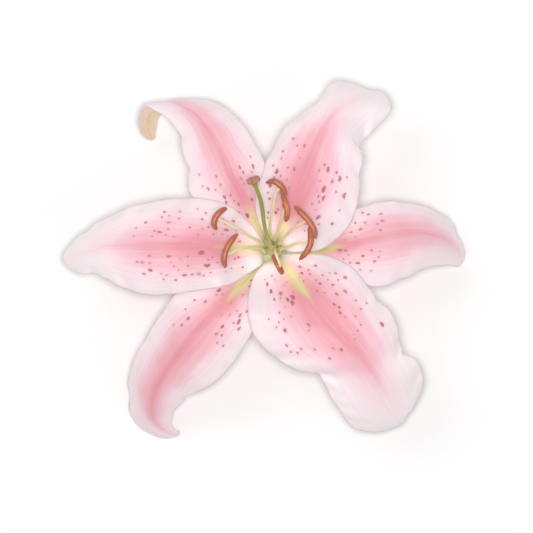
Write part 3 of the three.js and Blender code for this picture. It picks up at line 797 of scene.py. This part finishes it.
# seat is the direction of a filament's foot. Its points, and those of the anther's spine, are [x, y, depth
# below the stamens' common height]. join is the share of the anther's length where the filament meets it.
STAMENS = [
    dict(seat=115, join=0.7, filament=[[-0.8, 7, 36], [-0.9, 12, 22], [0.4, 19, 9]],
         anther=[[-2.7, 30, 1.4], [0.7, 30.6, -1], [3.2, 29.3, -2], [5.1, 27, -1], [6.4, 24.3, 1.4]]),
    dict(seat=75, join=0.5, filament=[[2, 6.5, 35], [3.4, 11, 22], [4.6, 15.5, 12]],
         anther=[[4.4, 25.4, 6.4], [5.6, 22.4, 4.2], [6.6, 18.9, 3], [6.8, 15.6, 3.8], [6.1, 12.6, 6]]),
    dict(seat=35, join=0.45, filament=[[4, 4, 37], [7.2, 7.4, 21], [10.6, 10.4, 9]],
         anther=[[10, 19.7, 1], [13, 16.6, -1], [16.5, 12.9, -1.6], [18.8, 8.8, -0.8], [19.6, 5, 1.4]]),
    dict(seat=-8, join=0.5, filament=[[4.6, 0.7, 37], [7.6, 1.5, 23], [11.4, 3, 12]],
         anther=[[16.6, 10.6, 8], [17.3, 7, 5.4], [17.2, 3, 4], [15.5, -0.8, 4.6], [12.2, -4.5, 7]]),
    dict(seat=-65, join=0.48,
         filament=[[1.6, -3.2, 47], [1.7, -1.9, 32], [1.5, -0.5, 14], [1.5, -1, 3], [2.2, -3.2, -2.4]],
         anther=[[0.3, -2.2, 6.6], [1.7, -4.9, 3.2], [3, -7.4, 2.2], [4, -9.3, 3.6], [4.6, -10.5, 6.8]]),
    dict(seat=158, join=0.5, filament=[[-5.4, 3.6, 38], [-10.5, 6.4, 23], [-16.6, 10, 12]],
         anther=[[-20.2, 18.8, 7.4], [-23, 17.2, 5], [-25.3, 14.4, 4], [-26, 11.5, 4.8], [-24.8, 9, 7.4]]),
    dict(seat=205, join=0.55, filament=[[-5, 0.6, 37], [-9, 1.3, 21], [-14, 0.8, 10]],
         anther=[
             [-15.3, 7.3, 4.6], [-18.4, 3.8, 2.4], [-20.8, -0.6, 1.2], [-21.5, -4.8, 1.8], [-20.7, -8, 4.4],
         ]),
]

# The style's spine: [x, y, share of its rise].
STYLE_SPINE = [
    [0, 0, 0], [0, 0.2, 0.03], [-0.9, 2.9, 0.17], [-2.6, 7.6, 0.36], [-3.6, 12.2, 0.53], [-4.1, 16.7, 0.68],
    [-4.9, 21.2, 0.84], [-6.2, 25.3, 0.955], [-7.2, 27.8, 0.988], [-7.8, 29.6, 1],
]

# The ovary's outline is [radius, height above its foot].
OVARY_OUTLINE = [
    [1.5, 0], [1.95, 3], [2, 7], [1.85, 13], [1.4, OVARY_LENGTH - 1.5], [1.15, OVARY_LENGTH],
]
# The receptacle's outline starts as [radius, height above its cut end], and ends as [radius, depth below
# its rim].
STUB_OUTLINE = [[0.1, 0.35], [2.7, 0.1], [3.15, 0.3], [3.2, 2.5], [5, 5.5]]
RIM_OUTLINE = [[6.9, 1.2], [7.35, 0.2], [6, 0.05], [0.1, 0.1]]


def stalk(name, spine, radius_at, section, rings=90, sides=28, start=(0.3, 1, 0.1)):
    """A round organ along a spine. section(t, angles) gives each side's swelling and a mask of its groove,
    which only sets where painted shade darkens it.

    start sets where angle 0 lies, at right angles to it and to the spine.
    """
    t = np.linspace(0, 1, rings)
    centre = catmull(spine, t)
    along = unit(np.gradient(centre, axis=0))
    first = unit(np.cross(along[0], start))
    points, recess_shade = [], []
    angles = ring_angles(sides)
    for i in range(rings):
        first = unit(first - along[i] * np.dot(first, along[i]))
        second = np.cross(along[i], first)
        swelling, recess_shade_depth = section(t[i], angles)
        out = np.outer(np.cos(angles), first) + np.outer(np.sin(angles), second)
        points.append(centre[i] + radius_at(t[i]) * swelling[:, None] * out)
        recess_shade.append(recess_shade_depth)
    length = np.concatenate([[0], np.cumsum(np.linalg.norm(np.diff(centre, axis=0), axis=1))])
    attributes = dict(along=np.repeat(t, sides), recess_shade=np.concatenate(recess_shade))
    faces = ring_faces(rings, sides)
    uv = ring_uv(length, angles, STALK_GRAIN_RADIUS)
    return make_mesh(name, np.concatenate(points) + AXIS, faces, attributes, uv)


def stamen_points(points):
    return np.array([[x, y, STAMEN_TOP - depth] for x, y, depth in points])


def filament_spine(stamen):
    """From the foot in the receptacle into the back of the anther, square to it."""
    angle = math.radians(stamen["seat"])
    foot = np.array([FILAMENT_RING * math.cos(angle), FILAMENT_RING * math.sin(angle), SEAT])
    passed = stamen_points(stamen["filament"])
    spine = stamen_points(stamen["anther"])
    joint, beyond = catmull(spine, [stamen["join"], stamen["join"] + 0.01])
    tangent = unit(beyond - joint)
    back = passed[-1] - joint
    back = unit(back - tangent * np.dot(back, tangent))
    approach = [joint + back * 2 * ANTHER_RADIUS, joint + back * 0.5 * ANTHER_RADIUS]
    return np.vstack([foot, passed, approach]), back


def make_filament(number, stamen):
    """A slender stalk that narrows to a point. Returns the direction in which it leaves the anther's back."""
    spine, back = filament_spine(stamen)

    def radius_at(t):
        point = (FILAMENT_TIP - FILAMENT_POINT) * float(smoothstep(0.94, 0.98, t))
        return FILAMENT_BASE + (FILAMENT_TIP - FILAMENT_BASE) * t - point

    def section(t, angles):
        return 1 + 0.05 * np.cos(2 * angles + 2 * t), np.zeros(len(angles))

    filament = stalk(f"filament_{number}_stalk", spine, radius_at, section)
    settle(filament, FILAMENT_SKIN, "filament", f"filament_{number}")
    return back


def make_anther(number, stamen, back):
    """A curved pod of two lobes, split along the side that faces away from its filament."""
    def radius_at(t):
        return ANTHER_RADIUS * max(1 - abs(2 * t - 1) ** 4, 0.03) ** 0.5

    def section(t, angles):
        turned_to = (angles + np.pi) % (2 * np.pi) - np.pi
        crease = bell(turned_to, 0.42)
        behind = bell(angles - np.pi, 0.5)
        side_split = bell(np.abs(turned_to) - np.pi / 2, 0.2)
        inner = np.sin(np.pi * t) ** 0.5
        swelling = 0.99 - (0.3 * crease + 0.16 * behind + 0.07 * side_split) * inner
        # the second value marks the slit and the side grooves, where the pollen skin paints shade
        return swelling, np.clip(crease * 0.7 + 0.8 * side_split, 0, 1) * inner

    spine = stamen_points(stamen["anther"])
    start = np.cross(back, spine[-1] - spine[0])
    pod = stalk(f"anther_{number}_pod", spine, radius_at, section, rings=80, sides=40, start=start)
    for vertex in pod.data.vertices:
        grain = noise.noise(vertex.co * POLLEN_COARSE) + 0.5 * noise.noise(vertex.co * POLLEN_FINE)
        vertex.co += vertex.normal * grain * POLLEN_HEIGHT * MM
    # painted light: faces that look up take the painted highlight, and faces that turn sideways or down take
    # painted shade
    facing_up = np.array([vertex.normal.z for vertex in pod.data.vertices])
    add_attribute(pod.data, "painted_side_shade", smoothstep(0.62, 0.1, facing_up))
    add_attribute(pod.data, "painted_top_highlight", smoothstep(0.86, 0.99, facing_up))
    settle(pod, ANTHER_SKIN, "anther", f"anther_{number}")


def make_style():
    """A three-sided column that flares under the stigma. Returns two points at the end of its spine."""
    spine = np.array([[x, y, STYLE_FOOT + share * STYLE_RISE] for x, y, share in STYLE_SPINE])

    def radius_at(t):
        flare = STYLE_FLARE * float(smoothstep(0.9, 1.0, t))
        return STYLE_BASE + (STYLE_NECK - STYLE_BASE) * min(3 * t, 1) + flare

    def section(t, angles):
        lobes = 0.06 + 0.08 * float(smoothstep(0.8, 1.0, t))
        return 1 + lobes * np.cos(3 * angles), np.zeros(len(angles))

    column = stalk("style_column", spine, radius_at, section, rings=140, sides=36)
    settle(column, STYLE_SKIN, "style", "style")
    return catmull(spine, [0.985, 1.0])


def stigma_ring(u):
    """The head's outline at u, from 0 beneath it to 1 in its middle: a share of its radius, and a height."""
    if u < STIGMA_EDGE:
        wide = math.sin(math.pi * min(0.14 + 0.5 * u / STIGMA_EDGE, 0.5))
    else:
        wide = math.cos((u - STIGMA_EDGE) / (1 - STIGMA_EDGE) * math.pi / 2 * 0.97)
    return wide, STIGMA_RISE * (0.5 - 0.5 * math.cos(math.pi * min(u / 0.8, 1))) + 0.2 * u


def make_stigma(end):
    """A three-lobed head, notched between each pair of lobes and dipped in the middle, with painted shade in
    the notches and the dip.
    """
    normal = unit(end[1] - end[0])
    first = unit(np.cross([0, 1, 0], normal))
    second = np.cross(normal, first)
    angles = ring_angles(STIGMA_SIDES)
    out = np.outer(np.cos(angles), first) + np.outer(np.sin(angles), second)
    lobes = np.abs(np.cos(1.5 * angles)) ** 0.45
    points, recess_shade = [], []
    for u in np.linspace(0, 1, STIGMA_RINGS):
        wide, high = stigma_ring(u)
        on_top = u > STIGMA_EDGE
        radius = STIGMA_RADIUS * wide * (0.86 + 0.14 * lobes)
        dip = 0.6 * bell(wide, 0.4) * on_top + 0.3 * (1 - lobes) * (u > 0.4)
        points.append(end[1] + radius[:, None] * out + np.outer(GAP * 0.4 + high - dip, normal))
        # painted shade mask: the notches between the lobes, and the dip in the middle of the top
        recess_shade.append((1 - lobes) * (u > 0.3) * 1.2 + 0.5 * bell(wide, 0.3) * on_top)
    attributes = dict(recess_shade=np.clip(np.concatenate(recess_shade), 0, 1))
    faces = ring_faces(STIGMA_RINGS, STIGMA_SIDES)
    head = make_mesh("stigma_head", np.concatenate(points) + AXIS, faces, attributes)
    for vertex in head.data.vertices:
        vertex.co += vertex.normal * noise.noise(vertex.co * BEAD_GRAIN) * BEAD_HEIGHT * MM
    settle(head, STIGMA_SKIN, "stigma", "stigma")


def turned(name, outline, sides, ribs, depth):
    """A solid of revolution with shallow ribs. outline lists [radius, height] from bottom to top."""
    smooth = catmull([[r, h, 0] for r, h in outline], np.linspace(0, 1, TURNED_RINGS))
    angles = ring_angles(sides)
    points = []
    for radius, height, _ in smooth:
        r = max(radius, 0.05) * (1 + depth * np.cos(ribs * angles))
        points.append(np.stack([r * np.cos(angles), r * np.sin(angles), np.full(sides, height)], -1))
    along = np.repeat(np.linspace(0, 1, TURNED_RINGS), sides)
    faces = ring_faces(TURNED_RINGS, sides)
    uv = ring_uv(smooth[:, 1], angles, TURNED_GRAIN_RADIUS)
    return make_mesh(name, np.concatenate(points) + AXIS, faces, dict(along=along), uv)


# ---- The bloom ---------------------------------------------------------------------------------------

PETAL_SKIN = petal_skin("petal_skin", srgb(231, 157, 169))
SEPAL_SKIN = petal_skin("sepal_skin", srgb(229, 156, 167))
FRECKLE_SKIN = freckle_skin()
FILAMENT_SKIN = stalk_skin("filament_skin", srgb(253, 249, 206), srgb(251, 243, 192), srgb(247, 236, 196))
STYLE_SKIN = stalk_skin("style_skin", srgb(206, 208, 140), srgb(160, 172, 78), srgb(150, 156, 66))
OVARY_SKIN = stalk_skin("ovary_skin", srgb(226, 228, 160), srgb(216, 220, 146), srgb(206, 210, 132))
PEDICEL_SKIN = stalk_skin("pedicel_skin", srgb(146, 164, 88), srgb(160, 176, 96), srgb(226, 224, 156))
ANTHER_SKIN = pollen_skin()
STIGMA_SKIN = stigma_skin()

blades = []
for shapes, whorl, skin, slot in (
    (PETALS, PETAL_WHORL, PETAL_SKIN, "petal"),
    (SEPALS, SEPAL_WHORL, SEPAL_SKIN, "sepal"),
):
    for number, (name, shape) in enumerate(shapes.items()):
        tepal = Tepal(name, shape, whorl)
        chosen = scatter(tepal, *FRECKLES[name])
        spots = [(*tepal.surface[i, j][:2], size) for i, j, size in chosen]
        blade, upper, up = tepal_mesh(tepal, 1.7 * number + whorl["ring"], spots)
        blades.append(settle(blade, skin, slot, name))
        settle(freckle_mesh(name, upper, up, chosen), FRECKLE_SKIN, slot)

for number, stamen in enumerate(STAMENS, 1):
    make_anther(number, stamen, make_filament(number, stamen))

make_stigma(make_style())

ovary_outline = [[r, SEAT + h] for r, h in OVARY_OUTLINE]
ovary = turned("ovary_body", ovary_outline, sides=48, ribs=6, depth=0.06)
settle(ovary, OVARY_SKIN, "ovary", "ovary")

cut_end, rim = PEDICEL_LOW[2] / MM, PEDICEL_HIGH[2] / MM
stub_outline = [[r, cut_end + h] for r, h in STUB_OUTLINE] + [[r, rim - h] for r, h in RIM_OUTLINE]
pedicel = turned("pedicel_stub", stub_outline, sides=96, ribs=6, depth=0.025)
settle(pedicel, PEDICEL_SKIN, "stem", "pedicel")


# ---- Floor, light and camera -------------------------------------------------------------------------

# These lengths are in metres.
FLOOR_SIZE = 6.0
AIM_HEIGHT = 0.04  # about half the bloom's height
LIGHT_AIM = Vector((0, 0, AIM_HEIGHT))
AREA_LIGHTS = [  # name, place, size, power
    ("overhead", (0.0, 0.0, 1.9), 0.3, 20),
    ("key", (-1.0, 0.9, 1.7), 1.2, 5.5),
    ("fill", (1.3, -0.7, 1.5), 1.6, 2),
]
SKY_STRENGTH = 0.41
THROAT_LAMP_HEIGHT = 0.022  # above the foot of the organs
THROAT_LAMP_RADIUS = 0.004
THROAT_LAMP_POWER = 0.0031
CAMERA_HEIGHT = 4.0  # above its aim, so that the view is nearly parallel
FRAME_WIDTH = 0.23985  # of what the camera sees at its aim
FRAME_SHIFT_X, FRAME_SHIFT_Y = -0.002475, -0.007425  # the frame's middle, from the bloom's axis
AIM = (AXIS[0] * MM + FRAME_SHIFT_X, AXIS[1] * MM + FRAME_SHIFT_Y, AIM_HEIGHT)
SENSOR_WIDTH = 36


def add_floor():
    half = FLOOR_SIZE / 2
    mesh = bpy.data.meshes.new("floor")
    corners = [(-half, -half, 0), (half, -half, 0), (half, half, 0), (-half, half, 0)]
    mesh.from_pydata(corners, [], [(0, 1, 2, 3)])
    floor = bpy.data.objects.new("floor", mesh)
    bpy.context.collection.objects.link(floor)
    mesh.materials.append(floor_skin())


def add_area_light(name, place, size, power):
    lamp = bpy.data.lights.new(name, "AREA")
    lamp.shape = "DISK"
    lamp.size = size
    lamp.energy = power
    obj = bpy.data.objects.new(name, lamp)
    obj.location = place
    obj.rotation_euler = (LIGHT_AIM - Vector(place)).to_track_quat("-Z", "Y").to_euler()
    obj.visible_camera = False
    bpy.context.collection.objects.link(obj)


def add_throat_lamp():
    """A small soft lamp that stands for the light that real petals pass through their walls into the throat.

    It falls on the tepals only, and the stamens and the pistil cast no shadow in it.
    """
    lamp = bpy.data.lights.new("throat", "POINT")
    lamp.shadow_soft_size = THROAT_LAMP_RADIUS
    lamp.energy = THROAT_LAMP_POWER
    lamp.color = (0.92, 0.95, 1.0)
    throat = bpy.data.objects.new("throat", lamp)
    throat.location = (AXIS[0] * MM, AXIS[1] * MM, SEAT * MM + THROAT_LAMP_HEIGHT)
    tepals_only = bpy.data.collections.new("tepals_only")
    for blade in blades:
        tepals_only.objects.link(blade)
    throat.light_linking.receiver_collection = tepals_only
    throat.light_linking.blocker_collection = tepals_only
    bpy.context.collection.objects.link(throat)


def add_sky():
    world = bpy.data.worlds.new("studio")
    world.use_nodes = True
    background = world.node_tree.nodes["Background"]
    background.inputs["Color"].default_value = (1, 1, 1, 1)
    background.inputs["Strength"].default_value = SKY_STRENGTH
    bpy.context.scene.world = world


def add_camera():
    """Straight above the bloom, looking down."""
    camera = bpy.data.objects.new("camera", bpy.data.cameras.new("camera"))
    camera.data.sensor_width = SENSOR_WIDTH
    camera.data.lens = SENSOR_WIDTH * CAMERA_HEIGHT / FRAME_WIDTH
    camera.data.clip_end = 10
    camera.location = (AIM[0], AIM[1], AIM[2] + CAMERA_HEIGHT)
    bpy.context.collection.objects.link(camera)
    bpy.context.scene.camera = camera


add_floor()
add_throat_lamp()
for light in AREA_LIGHTS:
    add_area_light(*light)
add_sky()
bpy.context.scene.view_settings.view_transform = "Standard"
add_camera()
